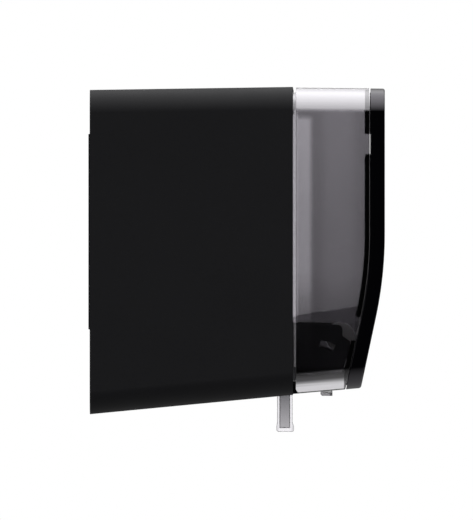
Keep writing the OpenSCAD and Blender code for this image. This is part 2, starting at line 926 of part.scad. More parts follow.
module front_cover() {
    wall_front = tear_back + door_t;
    color(SMOKE)
        difference() {
            union() {
                intersection() {
                    difference() {
                        cover_block(cover_back, 0);
                        cover_block(cover_back - 1, wall_t);
                    }
                    behind_front(skirt_depth);
                }
                tongue();
                catch();
                both()
                    knuckle();
            }
            box(-outlet_half, outlet_half, cover_back - 9, wall_front, -far, -80);
            both()
                box(ear_x - loose, ear_x + ear_t + loose, cover_back - 9, hinge_d + hinge_r + 0.6, -far,
                    hinge_z + hinge_r + 2);
            side_plate(-far, 2 * far, concat(
                [[hinge_d, -far], [0, -far], [0, hinge_z]],
                arc([hinge_d, hinge_z], hinge_r, 180, 270, 8)));
            both()
                rod_x(knuckle_x - 1, knuckle_x + knuckle_t + 1, hinge_d, hinge_z, pin_r + 0.02);
        }
}

module face_plate() {
    color(GLOSS_BLACK)
        difference() {
            intersection() {
                behind_front(0);
                union() {
                    difference() {
                        cover_block(cover_back, 0);
                        behind_front(skirt_depth - plate_gap);
                    }
                    difference() {
                        cover_block(cover_back, wall_t + rim_gap);
                        behind_front(skirt_depth + rim_depth);
                    }
                }
            }
            intersection() {
                behind_front(face_t);
                cover_block(cover_back - 1, wall_t + rim_gap + rim_t);
            }
            both()
                for (n = [notch_upper, notch_lower])
                    intersection() {
                        behind_front(skirt_depth - plate_gap - n[2]);
                        box(half_w - 15, half_w, 0, far, n[0], n[1]);
                    }
        }
}

// L-shaped bar under the cover with teeth along its front edge
module tear_bar() {
    half = outlet_half - 1;
    teeth = floor(2 * half / tooth_pitch);
    run = teeth * tooth_pitch / 2;
    tip = tear_back + tear_reach;
    front = tear_back + door_t;
    low = cover_bottom(front) - tear_hang;
    color(CLEAR)
        union() {
            side_plate(-half, 2 * half, [[tear_back, low + 1], [tear_back + 1, low], [front, low],
                [front, cover_bottom(front) + wall_t], [tear_back, cover_bottom(front) + wall_t]]);
            translate([0, 0, low])
                linear_extrude(1.9)
                    polygon(concat(
                        [[-run, -tear_back - 1.5]],
                        [for (i = [0 : teeth - 1], k = [0, 0.5])
                            [-run + (i + k) * tooth_pitch, -tip + 1.2 - 2.4 * k]],
                        [[run, -tip + 1.2], [run, -tear_back - 1.5]]));
        }
}

module hinge_pins() {
    color(STEEL)
        both()
            rod_x(ear_x, knuckle_x + knuckle_t, hinge_d, hinge_z, pin_r);
}

module carrier_screws() {
    color(STEEL)
        both()
            for (z = post_zs)
                screw_y(post_x, z, carrier_front, carrier_t + 3);
}

module cheek_screws() {
    color(STEEL)
        both()
            for (z = cheek_zs)
                screw_y(cheek_x - flange_w / 2, z, carrier_front + cheek_t, cheek_t + carrier_t - 0.2);
}

module arm_screws() {
    color(STEEL)
        both()
            for (z = arm_zs)
                screw_y(arm_screw_x, z, carrier_front + 3, 3 + carrier_t - 0.2);
}

module bracket_screws() {
    color(STEEL)
        both()
            for (p = bracket_screw_at)
                screw_x(bracket_x + bracket_t, p[0], p[1], bracket_t + cheek_t - 0.2);
}

module rail_screws() {
    color(STEEL)
        both()
            screw_x(cheek_x + cheek_t, rail_d, rail_screw_z, cheek_t + 7);
}

wall_plate();
rear_housing();
carrier_back();
cheek_left();
cheek_right();
centre_arm();
sleeve_cap_left();
sleeve_cap_right();
plunger_left();
plunger_right();
hub_spring_left();
hub_spring_right();
inner_hub_left();
inner_hub_right();
inner_clip_left();
inner_clip_right();
outer_axles();
outer_hub_left();
outer_hub_right();
outer_clips();
rail_bracket_left();
rail_bracket_right();
guide_rod();
rear_rail();
sliding_door();
slide_lever();
lever_screws();
lock_sleeve();
lock_nut();
lock_barrel();
lock_cam();
cam_screw();
front_cover();
face_plate();
tear_bar();
hinge_pins();
carrier_screws();
cheek_screws();
arm_screws();
bracket_screws();
rail_screws();
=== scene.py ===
"""Looks of the double roll toilet paper dispenser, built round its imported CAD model."""

import json
import math

import bmesh
import bpy
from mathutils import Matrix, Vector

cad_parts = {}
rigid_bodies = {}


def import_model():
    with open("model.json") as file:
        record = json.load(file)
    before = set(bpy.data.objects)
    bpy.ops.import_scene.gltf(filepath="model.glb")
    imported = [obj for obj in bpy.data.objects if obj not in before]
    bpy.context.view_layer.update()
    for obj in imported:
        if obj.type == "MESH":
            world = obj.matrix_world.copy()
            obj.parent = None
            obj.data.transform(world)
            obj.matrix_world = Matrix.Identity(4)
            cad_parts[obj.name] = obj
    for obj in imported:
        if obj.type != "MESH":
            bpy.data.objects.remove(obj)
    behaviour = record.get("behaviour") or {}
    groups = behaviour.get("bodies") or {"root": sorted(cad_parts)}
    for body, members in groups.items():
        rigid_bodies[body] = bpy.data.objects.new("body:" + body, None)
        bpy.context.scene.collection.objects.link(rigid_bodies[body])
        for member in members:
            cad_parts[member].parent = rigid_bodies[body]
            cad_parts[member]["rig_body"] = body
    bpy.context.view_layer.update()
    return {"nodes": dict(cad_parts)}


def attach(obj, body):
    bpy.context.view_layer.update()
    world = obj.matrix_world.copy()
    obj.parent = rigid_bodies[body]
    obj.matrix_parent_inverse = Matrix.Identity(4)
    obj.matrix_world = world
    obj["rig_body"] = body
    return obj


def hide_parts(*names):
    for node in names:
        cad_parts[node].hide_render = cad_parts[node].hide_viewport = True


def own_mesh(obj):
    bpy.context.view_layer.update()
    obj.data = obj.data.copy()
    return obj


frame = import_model()

bl_info = {
    "name": "Double roll dispenser",
    "version": (1, 0, 0),
    "blender": (4, 5, 0),
    "location": "View3D > Sidebar > Dispenser",
    "description": "Dresses the packed CAD model of a wall dispenser for two toilet rolls",
    "category": "Object",
}

MM = 0.001
SIDES = ("left", "right")

# Points of a copied CAD mesh that are closer than MERGED become one, and so do facets that turn
# by less than COPLANAR.
MERGED, COPLANAR = 0.001 * MM, math.radians(0.4)
# An edge sharper than SHARP is rounded, one sharper than CREASE isn't shaded across, and one
# between FLAT and CREASE belongs to a faceted curve.
SHARP, CREASE, FLAT = math.radians(32), math.radians(14), math.radians(1)
# Shortest edge that may lie beside a rounded one, in radii: on small pieces and on the shells.
SNUG, ROOMY = 1.6, 3.0
BEVEL_STEPS, LIP_STEPS = 3, 4
# How much a face looks along the depth: more on a cut rim than on a skin, and most on the front.
CUT, FRONT = 0.5, 0.9
# The outside of the shells lies beyond these, and an outline has no shorter edge.
SHELL_SIDE, SHELL_TOP, SHELL_FOOT = 129.0 * MM, 72.0 * MM, -84.0 * MM
SHORTEST = 1.5 * MM

# Most of a noise lies in this span.
NOISE_SPAN = {"From Min": 0.3, "From Max": 0.7}
# A mix node's sockets share their names, so those for colours go by their numbers.
FACTOR, FIRST_COLOUR, SECOND_COLOUR, MIXED_COLOUR = 0, 6, 7, 2
FINISHES = {}

# The lever: its middle across and in depth, its web, and how far out its walls turn greyer.
LEVER_MID, LEVER_DEPTH = -69.0 * MM, -119.4 * MM
WEB_HALF, WEB_FOOT, WEB_HEAD = 2.0 * MM, -118.0 * MM, -100.0 * MM
BORDER_FROM, BORDER_TO = 3.7 * MM, 4.3 * MM
# Heights between which painted shade darkens the door's skin towards its foot.
DOOR_SHADE_FROM, DOOR_SHADE_TO = -46.0 * MM, -66.0 * MM

FLOOR_HALF, FLOOR_HEIGHT = 12.0, -0.9
# Strength of the light from overhead, level, from below and from the card behind the object.
OVERHEAD, LEVEL_LIGHT, UNDERNEATH, CARD = 4.8, 0.015, 1.12, 1.0
CAMERA_AWAY, CAMERA_REACH = 13.0, 40.0
# Depth midway between the cover's two seams, and what the frame takes in from top to bottom.
BETWEEN_SEAMS, FRAME_HEIGHT = -145.0 * MM, 315.1 * MM
SENSOR = 36.0


def srgb(code):
    """An sRGB hex colour as linear red, green, blue and alpha."""
    parts = [int(code[i:i + 2], 16) / 255 for i in (0, 2, 4)]
    linear = [c / 12.92 if c <= 0.04045 else ((c + 0.055) / 1.055) ** 2.4 for c in parts]
    return (*linear, 1.0)


BLACK, WHITE, FLOOR_GREY = srgb("000000"), srgb("FFFFFF"), srgb("A6A6A6")


def edge_size(name, description, size):
    """A radius in millimetres that can be changed in the sidebar."""
    return bpy.props.FloatProperty(
        name=name, description=description, default=size * MM, min=0.05 * MM, max=2 * MM,
        unit="LENGTH", precision=5)


def colour(name, description, code):
    """A colour that can be changed in the sidebar."""
    return bpy.props.FloatVectorProperty(
        name=name, description=description, default=srgb(code), size=4, min=0.0, max=1.0,
        subtype="COLOR")


class DispenserSizes(bpy.types.PropertyGroup):
    """Edge radii of the mouldings and depth of the door's tint."""

    shell_edge: edge_size("Shell edge", "Radius along the rims of the housing", 0.5)
    cover_edge: edge_size("Cover edge", "Radius along the rims of the cover and the face", 0.3)
    face_edge: edge_size("Face edge", "Radius along the front of the face plate", 1.2)
    part_edge: edge_size("Part edge", "Radius along the edges of the small mouldings", 0.35)
    metal_edge: edge_size("Metal edge", "Broken edge of metal, rod, door and tear bar", 0.15)
    door_tint: bpy.props.FloatProperty(
        name="Door tint", description="Light taken up by the door, for each metre of plastic",
        default=6.0, min=0.0, max=2000.0)


class DispenserColours(bpy.types.PropertyGroup):
    """Colours of the plastics and metals."""

    housing: colour("Housing", "Matt black of the housing", "0B0B0D")
    face: colour("Face", "Gloss black of the face plate", "010102")
    cast: colour("Cast", "Violet cast of what the face plate reflects", "FAF6FF")
    smoke: colour("Smoke", "Tint of the cover's sides", "AEACB0")
    band: colour("Band", "Tint of the paler band along the cover's rear edge", "C8C6CA")
    tongue: colour("Tongue", "Tint of the cover's tongue", "ECEAEE")
    round: colour("Round", "Milky tint of the cover's upper round edges", "9D9B9F")
    clear: colour("Clear", "Tint of the cover's rounded edges and of the lever", "FAF8FC")
    door: colour("Door", "Tint of the sliding door's skin", "DCDBDD")
    door_depth: colour("Door depth", "Tint of the light that goes through the door", "000027")
    bracket: colour("Bracket", "Black of the rail brackets", "3D3D41")
    carrier: colour("Carrier", "Grey of the roll carrier", "A9A9A6")
    rod: colour("Rod", "Natural white of the guide rod", "E6E6E2")
    border: colour("Border", "Tint along the outer edges of the lever's walls", "E2E0E4")
    web_low: colour("Web low", "Tint of the lever's web at its foot", "AFADB1")
    web_high: colour("Web high", "Tint of the lever's web at the housing", "767579")
    bar: colour("Bar", "Tint of the tear bar along its length", "D0CED2")
    zinc: colour("Zinc", "Zinc plate on screws, pins and clips", "B9BBBD")
    spring: colour("Spring", "Drawn spring wire", "8E9196")
    nickel: colour("Nickel", "Dark plate on the lock", "6A6967")


def add(tree, kind, inputs=None, **settings):
    """Adds a shader node; each of its inputs is given another node's output or a value."""
    node = tree.nodes.new(kind)
    for name, value in settings.items():
        setattr(node, name, value)
    for name, value in (inputs or {}).items():
        if isinstance(value, bpy.types.NodeSocket):
            tree.links.new(value, node.inputs[name])
        else:
            node.inputs[name].default_value = value
    return node


def blank(name):
    """A new material with an empty node tree, and the object's own coordinates in it."""
    made = bpy.data.materials.new(name)
    made.use_nodes = True
    made.node_tree.nodes.clear()
    return made, made.node_tree, add(made.node_tree, "ShaderNodeTexCoord").outputs


def per_mm(size):
    """Scale of a pattern whose features are that many millimetres across."""
    return 1.0 / (size * MM)


def matt_abs():
    """ABS moulded against a spark-eroded tool: deep black that only greys where light grazes it."""
    made, tree, where = blank("abs_spark_eroded_black")
    tint = bpy.context.scene.dispenser_colours.housing
    # Pits of 0.3 mm are finer than a pixel of the render, so they are drawn 0.9 mm across.
    pits = add(tree, "ShaderNodeTexNoise", {
        "Vector": where["Object"], "Scale": per_mm(0.9), "Detail": 3.0})
    cloud = add(tree, "ShaderNodeTexNoise", {
        "Vector": where["Object"], "Scale": per_mm(40.0), "Detail": 2.0})
    rough = add(tree, "ShaderNodeMapRange", {
        "Value": cloud.outputs["Fac"], **NOISE_SPAN, "To Min": 0.52, "To Max": 0.6})
    shade = add(tree, "ShaderNodeMapRange", {
        "Value": pits.outputs["Fac"], **NOISE_SPAN, "To Min": 0.85, "To Max": 1.18})
    base = add(tree, "ShaderNodeVectorMath", {
        0: tint[:3], "Scale": shade.outputs["Result"]}, operation="SCALE")
    bump = add(tree, "ShaderNodeBump", {
        "Height": pits.outputs["Fac"], "Strength": 0.25, "Distance": 0.05 * MM})
    skin = add(tree, "ShaderNodeBsdfPrincipled", {
        "Base Color": base.outputs["Vector"], "Roughness": rough.outputs["Result"], "IOR": 1.5,
        "Specular IOR Level": 0.1, "Normal": bump.outputs["Normal"]})
    add(tree, "ShaderNodeOutputMaterial", {"Surface": skin.outputs["BSDF"]})
    return made


def gloss_abs():
    """ABS moulded in a polished tool with a grained front: mirror-black sides, pebbled face."""
    made, tree, where = blank("abs_polished_black_grained_front")
    tints = bpy.context.scene.dispenser_colours
    # Leather grain of 1.4 mm, on what faces forwards only.
    grain = add(tree, "ShaderNodeTexVoronoi", {
        "Vector": where["Object"], "Scale": per_mm(1.4), "Smoothness": 0.6}, feature="SMOOTH_F1")
    facing = add(tree, "ShaderNodeVectorMath", {
        0: where["Normal"], 1: (0.0, -1.0, 0.0)}, operation="DOT_PRODUCT")
    front = add(tree, "ShaderNodeMapRange", {
        "Value": facing.outputs["Value"], "From Min": 0.75, "From Max": 0.95},
        interpolation_type="SMOOTHSTEP")
    haze = add(tree, "ShaderNodeTexNoise", {
        "Vector": where["Object"], "Scale": per_mm(25.0), "Detail": 3.0})
    gloss = add(tree, "ShaderNodeMapRange", {
        "Value": haze.outputs["Fac"], **NOISE_SPAN, "To Min": 0.02, "To Max": 0.04})
    rough = add(tree, "ShaderNodeMix", {
        "Factor": front.outputs["Result"], "A": gloss.outputs["Result"], "B": 0.34},
        data_type="FLOAT")
    bump = add(tree, "ShaderNodeBump", {
        "Height": grain.outputs["Distance"], "Strength": front.outputs["Result"],
        "Distance": 0.12 * MM}, invert=True)
    skin = add(tree, "ShaderNodeBsdfPrincipled", {
        "Base Color": tints.face, "IOR": 1.5, "Specular Tint": tints.cast,
        "Roughness": rough.outputs["Result"], "Normal": bump.outputs["Normal"]})
    add(tree, "ShaderNodeOutputMaterial", {"Surface": skin.outputs["BSDF"]})
    return made


def satin_plastic(name, tint, smoothest, roughest, pit):
    """Plastic moulded in a vapour-honed tool: even colour, soft highlight, faint flow marks."""
    made, tree, where = blank(name)
    flow = add(tree, "ShaderNodeTexNoise", {
        "Vector": where["Object"], "Scale": per_mm(18.0), "Detail": 4.0, "Distortion": 0.6})
    pits = add(tree, "ShaderNodeTexNoise", {
        "Vector": where["Object"], "Scale": per_mm(pit), "Detail": 2.0})
    shade = add(tree, "ShaderNodeMapRange", {
        "Value": flow.outputs["Fac"], **NOISE_SPAN, "To Min": 0.94, "To Max": 1.05})
    base = add(tree, "ShaderNodeVectorMath", {
        0: tint[:3], "Scale": shade.outputs["Result"]}, operation="SCALE")
    rough = add(tree, "ShaderNodeMapRange", {
        "Value": pits.outputs["Fac"], **NOISE_SPAN, "To Min": smoothest, "To Max": roughest})
    bump = add(tree, "ShaderNodeBump", {
        "Height": pits.outputs["Fac"], "Strength": 0.15, "Distance": 0.03 * MM})
    skin = add(tree, "ShaderNodeBsdfPrincipled", {
        "Base Color": base.outputs["Vector"], "Roughness": rough.outputs["Result"], "IOR": 1.52,
        "Normal": bump.outputs["Normal"]})
    add(tree, "ShaderNodeOutputMaterial", {"Surface": skin.outputs["BSDF"]})
    return made


def smoke_door():
    """Dark smoke polycarbonate: a tinted skin, and darker where the light's way in it is long."""
    made, tree, where = blank("polycarbonate_moulded_dark_smoke")
    sizes, tints = bpy.context.scene.dispenser_sizes, bpy.context.scene.dispenser_colours
    flow = add(tree, "ShaderNodeTexNoise", {
        "Vector": where["Object"], "Scale": per_mm(14.0), "Detail": 2.0})
    rough = add(tree, "ShaderNodeMapRange", {
        "Value": flow.outputs["Fac"], **NOISE_SPAN, "To Min": 0.01, "To Max": 0.02})
    bump = add(tree, "ShaderNodeBump", {
        "Height": flow.outputs["Fac"], "Strength": 0.05, "Distance": 0.02 * MM})
    # Painted shade darkens its skin a little towards its foot.
    height = add(tree, "ShaderNodeSeparateXYZ", {"Vector": where["Object"]}).outputs["Z"]
    foot = add(tree, "ShaderNodeMapRange", {
        "Value": height, "From Min": DOOR_SHADE_FROM, "From Max": DOOR_SHADE_TO, "To Max": 0.2},
        interpolation_type="SMOOTHSTEP")
    base = add(tree, "ShaderNodeMix", {
        FACTOR: foot.outputs["Result"], FIRST_COLOUR: tints.door, SECOND_COLOUR: BLACK},
        data_type="RGBA")
    skin = add(tree, "ShaderNodeBsdfPrincipled", {
        "Base Color": base.outputs[MIXED_COLOUR], "IOR": 1.5, "Transmission Weight": 1.0,
        "Roughness": rough.outputs["Result"], "Normal": bump.outputs["Normal"]})
    depth = add(tree, "ShaderNodeVolumeAbsorption", {
        "Color": tints.door_depth, "Density": sizes.door_tint})
    add(tree, "ShaderNodeOutputMaterial", {
        "Surface": skin.outputs["BSDF"], "Volume": depth.outputs["Volume"]})
    return made


def smoke_cover():
    """Smoke polycarbonate: see-through grey sides, milky light in the round edges and rims."""
    made, tree, where = blank("polycarbonate_moulded_smoke")
    tints = bpy.context.scene.dispenser_colours
    place = add(tree, "ShaderNodeSeparateXYZ", {"Vector": where["Object"]}).outputs
    facing = add(tree, "ShaderNodeSeparateXYZ", {"Vector": where["Normal"]}).outputs
    tilt = add(tree, "ShaderNodeMath", {0: facing["Z"]}, operation="ABSOLUTE").outputs[0]
    flow = add(tree, "ShaderNodeTexNoise", {
        "Vector": where["Object"], "Scale": per_mm(14.0), "Detail": 2.0})
    # Shares that grow from one depth or height to another: name, axis, from and to in millimetres,
    # and the share at each.
    by_place = (
        # The sides: their paler rear band, darker beside it, and painted shade towards the face
        # plate's rim and towards the bottom.
        ("near_rear", "Y", -137.5, -133.2, 0.0, 1.0),
        ("below_cap", "Z", 71.5, 69.0, 0.0, 1.0),
        ("band_end", "Z", -95.0, -22.0, 0.0, 1.0),
        ("by_band", "Y", -147.0, -138.5, 0.0, 0.09),
        ("by_rim_shade", "Y", -156.0, -169.5, 0.0, 0.13),
        ("fall_shade", "Z", 90.0, -30.0, 0.0, 0.14),
        ("low_fall_shade", "Z", -18.0, -58.0, 0.0, 0.22),
        ("toe_shade", "Z", -81.0, -86.0, 0.0, 0.75),
        # The tongue behind the rear edge.
        ("tongue", "Y", -126.3, -126.0, 0.0, 1.0),
        ("tongue_milk", "Y", -126.3, -126.0, 0.0, 0.2),
        ("tongue_end", "Y", -124.6, -125.0, 0.0, 1.0),
        ("tongue_shade", "Y", -125.0, -124.6, 0.0, 0.27),
        # The round edges and the front rim.
        ("bottom", "Z", -66.0, -80.0, 0.0, 1.0),
        ("upper", "Z", -80.0, -66.0, 0.0, 1.0),
        ("behind_rim", "Y", -155.6, -154.9, 0.3, 1.0),
        # Painted shade where the face plate's rim lies behind the top's round edge.
        ("top_rim_shade", "Y", -167.7, -168.2, 0.0, 0.55),
        ("seam_end", "Z", -62.0, -20.0, 0.1, 1.0),
        ("haze", "Z", -60.0, 60.0, 0.45, 0.3))
    # Shares that grow from one slant of the surface to another, in the same order.
    by_slant = (
        ("above_belly", tilt, 0.955, 0.93, 0.0, 1.0),
        ("top_round", tilt, 0.02, 0.45, 0.0, 1.0),
        ("low_round", tilt, 0.43, 0.76, 0.0, 1.0),
        # Painted shade near the top of the round edge, where it turns flat.
        ("crown_shade", tilt, 0.72, 0.95, 0.0, 0.4),
        ("seam_top", tilt, 0.02, 0.45, 0.35, 1.0),
        ("low_milk", facing["Z"], -0.06, -0.48, 0.0, 1.0),
        ("top_milk", facing["Z"], 0.0, 0.14, 0.0, 1.0),
        ("not_edge", facing["Y"], -0.5, -0.2, 0.0, 1.0),
        ("front_milk", facing["Y"], -0.2, -0.5, 0.0, 1.0),
        ("rear_milk", facing["Y"], 0.2, 0.5, 0.0, 0.05))
    placed = [(name, place[axis], low * MM, high * MM, start, end)
              for name, axis, low, high, start, end in by_place]
    share = {}
    for name, source, low, high, start, end in (*placed, *by_slant):
        share[name] = add(tree, "ShaderNodeMapRange", {
            "Value": source, "From Min": low, "From Max": high, "To Min": start, "To Max": end},
            interpolation_type="SMOOTHSTEP").outputs["Result"]
    # Shares that are there only where all of the named ones are. The bottom's round edge is milky
    # up to the face plate's rim, and dark again along its underside. The top's is milky too, with
    # painted shade near its top, where it turns flat, and where the face plate's rim is behind it;
    # painted light makes it paler over the tongue.
    for name, first, *others in (
            ("band", "near_rear", "below_cap", "band_end"),
            ("low_clear", "low_round", "behind_rim", "above_belly"),
            ("low_edge", "low_milk", "behind_rim", "above_belly", "bottom"),
            ("top_edge", "top_milk", "upper", "above_belly", "not_edge"),
            ("top_crown_shade", "top_edge", "crown_shade"),
            ("top_shade", "top_edge", "top_rim_shade"),
            # Painted light: the tongue's top is painted paler, though the recess shades it.
            ("tongue_top_light", "top_edge", "tongue", "low_round"),
            ("seam", "front_milk", "seam_end", "seam_top"),
            ("gap", "tongue_milk", "tongue_end")):
        share[name] = share[first]
        for other in others:
            share[name] = add(tree, "ShaderNodeMath", {
                0: share[name], 1: share[other]}, operation="MULTIPLY").outputs[0]
    share["rounded"] = add(tree, "ShaderNodeMix", {
        "Factor": share["bottom"], "A": share["top_round"], "B": share["low_clear"]},
        data_type="FLOAT").outputs["Result"]
    # Sides: paler along the rear edge and darker beside that band, with painted shade towards the
    # face plate's rim and towards the bottom; clear in the tongue and the round edges. The top's
    # round edge has painted shade near its top and where the face plate's rim is behind it, and
    # painted light over the tongue.
    base = tints.smoke
    for name, tint in (
            ("by_band", BLACK), ("by_rim_shade", BLACK), ("band", tints.band), ("fall_shade", BLACK),
            ("low_fall_shade", BLACK), ("toe_shade", BLACK), ("tongue", tints.tongue),
            ("tongue_shade", BLACK), ("rounded", tints.clear), ("top_edge", tints.round),
            ("tongue_top_light", tints.band), ("top_crown_shade", BLACK), ("top_shade", BLACK)):
        base = add(tree, "ShaderNodeMix", {
            FACTOR: share[name], FIRST_COLOUR: base, SECOND_COLOUR: tint},
            data_type="RGBA").outputs[MIXED_COLOUR]
    milk = share["low_edge"]
    for name in ("seam", "top_edge", "rear_milk", "gap"):
        milk = add(tree, "ShaderNodeMath", {
            0: milk, 1: share[name]}, operation="MAXIMUM").outputs[0]
    clear = add(tree, "ShaderNodeMath", {0: 1.0, 1: milk}, operation="SUBTRACT")
    polish = add(tree, "ShaderNodeMapRange", {
        "Value": flow.outputs["Fac"], **NOISE_SPAN, "To Min": 0.004, "To Max": 0.012})
    soft = add(tree, "ShaderNodeMath", {
        0: share["rounded"], 1: share["haze"]}, operation="MULTIPLY")
    rough = add(tree, "ShaderNodeMath", {
        0: polish.outputs["Result"], 1: soft.outputs[0]}, operation="MAXIMUM")
    bump = add(tree, "ShaderNodeBump", {
        "Height": flow.outputs["Fac"], "Strength": 0.05, "Distance": 0.02 * MM})
    skin = add(tree, "ShaderNodeBsdfPrincipled", {
        "Base Color": base, "IOR": 1.5, "Transmission Weight": clear.outputs[0],
        "Roughness": rough.outputs[0], "Normal": bump.outputs["Normal"]})
    add(tree, "ShaderNodeOutputMaterial", {"Surface": skin.outputs["BSDF"]})
    return made


def clear_lever():
    """Clear polycarbonate: bright walls and foot, with a greyer web between them."""
    made, tree, where = blank("polycarbonate_moulded_clear")
    tints = bpy.context.scene.dispenser_colours
    place = add(tree, "ShaderNodeSeparateXYZ", {"Vector": where["Object"]}).outputs
    flow = add(tree, "ShaderNodeTexNoise", {
        "Vector": where["Object"], "Scale": per_mm(10.0), "Detail": 2.0})
    out = {}
    for axis, middle in (("X", LEVER_MID), ("Y", LEVER_DEPTH)):
        aside = add(tree, "ShaderNodeMath", {0: place[axis], 1: middle}, operation="SUBTRACT")
        out[axis] = add(tree, "ShaderNodeMath", {
            0: aside.outputs[0]}, operation="ABSOLUTE").outputs[0]
    walls = add(tree, "ShaderNodeMath", {0: out["X"], 1: WEB_HALF}, operation="GREATER_THAN")
    rise = add(tree, "ShaderNodeMapRange", {
        "Value": place["Z"], "From Min": WEB_FOOT, "From Max": WEB_HEAD})
    # The walls are greyer along their outer edges.
    rim = add(tree, "ShaderNodeMapRange", {
        "Value": out["Y"], "From Min": BORDER_FROM, "From Max": BORDER_TO},
        interpolation_type="SMOOTHSTEP")
    border = add(tree, "ShaderNodeMath", {
        0: rim.outputs["Result"], 1: walls.outputs[0]}, operation="MULTIPLY")
    base = tints.web_low
    for factor, tint in ((rise.outputs["Result"], tints.web_high),
                         (walls.outputs[0], tints.clear),
                         (border.outputs[0], tints.border)):
        base = add(tree, "ShaderNodeMix", {
            FACTOR: factor, FIRST_COLOUR: base, SECOND_COLOUR: tint},
            data_type="RGBA").outputs[MIXED_COLOUR]
    rough = add(tree, "ShaderNodeMapRange", {
        "Value": flow.outputs["Fac"], **NOISE_SPAN, "To Min": 0.06, "To Max": 0.12})
    bump = add(tree, "ShaderNodeBump", {
        "Height": flow.outputs["Fac"], "Strength": 0.1, "Distance": 0.02 * MM})
    skin = add(tree, "ShaderNodeBsdfPrincipled", {
        "Base Color": base, "IOR": 1.5, "Transmission Weight": 1.0,
        "Roughness": rough.outputs["Result"], "Normal": bump.outputs["Normal"]})
    add(tree, "ShaderNodeOutputMaterial", {"Surface": skin.outputs["BSDF"]})
    return made


def hazy_bar():
    """Polycarbonate moulded in a worn tool: a grey see-through bar, cloudy along its length."""
    made, tree, where = blank("polycarbonate_moulded_hazy")
    tint = bpy.context.scene.dispenser_colours.bar
    flow = add(tree, "ShaderNodeTexNoise", {
        "Vector": where["Object"], "Scale": per_mm(6.0), "Detail": 3.0})
    rough = add(tree, "ShaderNodeMapRange", {
        "Value": flow.outputs["Fac"], **NOISE_SPAN, "To Min": 0.08, "To Max": 0.16})
    bump = add(tree, "ShaderNodeBump", {
        "Height": flow.outputs["Fac"], "Strength": 0.1, "Distance": 0.02 * MM})
    skin = add(tree, "ShaderNodeBsdfPrincipled", {
        "Base Color": tint, "IOR": 1.5, "Transmission Weight": 0.75,
        "Roughness": rough.outputs["Result"], "Normal": bump.outputs["Normal"]})
    add(tree, "ShaderNodeOutputMaterial", {"Surface": skin.outputs["BSDF"]})
    return made


def plated_metal(name, tint, smoothest, roughest, streak):
    """Plated or drawn metal: bright, with fine marks that break up the highlight."""
    made, tree, where = blank(name)
    marks = add(tree, "ShaderNodeTexNoise", {
        "Vector": where["Object"], "Scale": per_mm(streak), "Detail": 4.0})
    bloom = add(tree, "ShaderNodeTexNoise", {
        "Vector": where["Object"], "Scale": per_mm(6.0), "Detail": 2.0})
    rough = add(tree, "ShaderNodeMapRange", {
        "Value": marks.outputs["Fac"], **NOISE_SPAN, "To Min": smoothest, "To Max": roughest})
    shade = add(tree, "ShaderNodeMapRange", {
        "Value": bloom.outputs["Fac"], **NOISE_SPAN, "To Min": 0.85, "To Max": 1.05})
    base = add(tree, "ShaderNodeVectorMath", {
        0: tint[:3], "Scale": shade.outputs["Result"]}, operation="SCALE")
    bump = add(tree, "ShaderNodeBump", {
        "Height": marks.outputs["Fac"], "Strength": 0.1, "Distance": 0.01 * MM})
    skin = add(tree, "ShaderNodeBsdfPrincipled", {
        "Base Color": base.outputs["Vector"], "Roughness": rough.outputs["Result"],
        "Metallic": 1.0, "Normal": bump.outputs["Normal"]})
    add(tree, "ShaderNodeOutputMaterial", {"Surface": skin.outputs["BSDF"]})
    return made


def finish_of(kind):
    """One of the finishes, made when it is first asked for."""
    tints = bpy.context.scene.dispenser_colours
    makers = {
        "matt_black": (matt_abs, {}),
        "gloss_black": (gloss_abs, {}),
        "hazy_bar": (hazy_bar, {}),
        "smoke_cover": (smoke_cover, {}),
        "smoke_door": (smoke_door, {}),
        "clear_lever": (clear_lever, {}),
        "bracket_black": (satin_plastic, {
            "name": "acetal_moulded_black", "tint": tints.bracket,
            "smoothest": 0.38, "roughest": 0.46, "pit": 1.2}),
        "carrier_grey": (satin_plastic, {
            "name": "abs_vapour_honed_grey", "tint": tints.carrier,
            "smoothest": 0.36, "roughest": 0.46, "pit": 1.0}),
        "rod_white": (satin_plastic, {
            "name": "acetal_moulded_natural", "tint": tints.rod,
            "smoothest": 0.3, "roughest": 0.4, "pit": 1.0}),
        "zinc": (plated_metal, {
            "name": "steel_zinc_plated", "tint": tints.zinc,
            "smoothest": 0.28, "roughest": 0.4, "streak": 0.6}),
        "wire": (plated_metal, {
            "name": "steel_drawn_spring_wire", "tint": tints.spring,
            "smoothest": 0.22, "roughest": 0.32, "streak": 0.4}),
        "nickel": (plated_metal, {
            "name": "zinc_casting_black_nickel_plated", "tint": tints.nickel,
            "smoothest": 0.1, "roughest": 0.18, "streak": 0.8}),
    }
    if kind not in FINISHES:
        maker, given = makers[kind]
        FINISHES[kind] = maker(**given)
    return FINISHES[kind]


def bent(edge, angle):
    """Tells whether the two faces at an edge meet at more than that angle."""
    return edge.is_manifold and edge.calc_face_angle() > angle


def outline(edge):
    """Tells whether an edge runs round the outside of a shell, along its front or its back."""
    cuts = [face for face in edge.link_faces if abs(face.normal.y) > CUT]
    skins = [face for face in edge.link_faces if abs(face.normal.y) < CUT]
    if len(cuts) != 1 or edge.calc_length() < SHORTEST:
        return False
    middle = (edge.verts[0].co + edge.verts[1].co) / 2
    outward = skins[0].normal.x * middle.x + skins[0].normal.z * middle.z
    return outward > 0 and (
        abs(middle.x) > SHELL_SIDE or middle.z > SHELL_TOP or middle.z < SHELL_FOOT)


def straight(edge):
    """Tells whether an edge touches no faceted curve, such as the rim of a hole."""
    beside = [e for v in edge.verts for e in v.link_edges if e.is_manifold]
    return not any(FLAT < e.calc_face_angle() < CREASE for e in beside)


def untouched(edge):
    """Picks no edge, for a piece that keeps all its edges."""
    return False


def round_off(bm, edges, radius, segments):
    """Rounds edges, and shades across them."""
    for edge in edges:
        edge.smooth = True
    bmesh.ops.bevel(bm, geom=edges, offset=radius, segments=segments, profile=0.5,
                    affect="EDGES", clamp_overlap=True, material=-1)


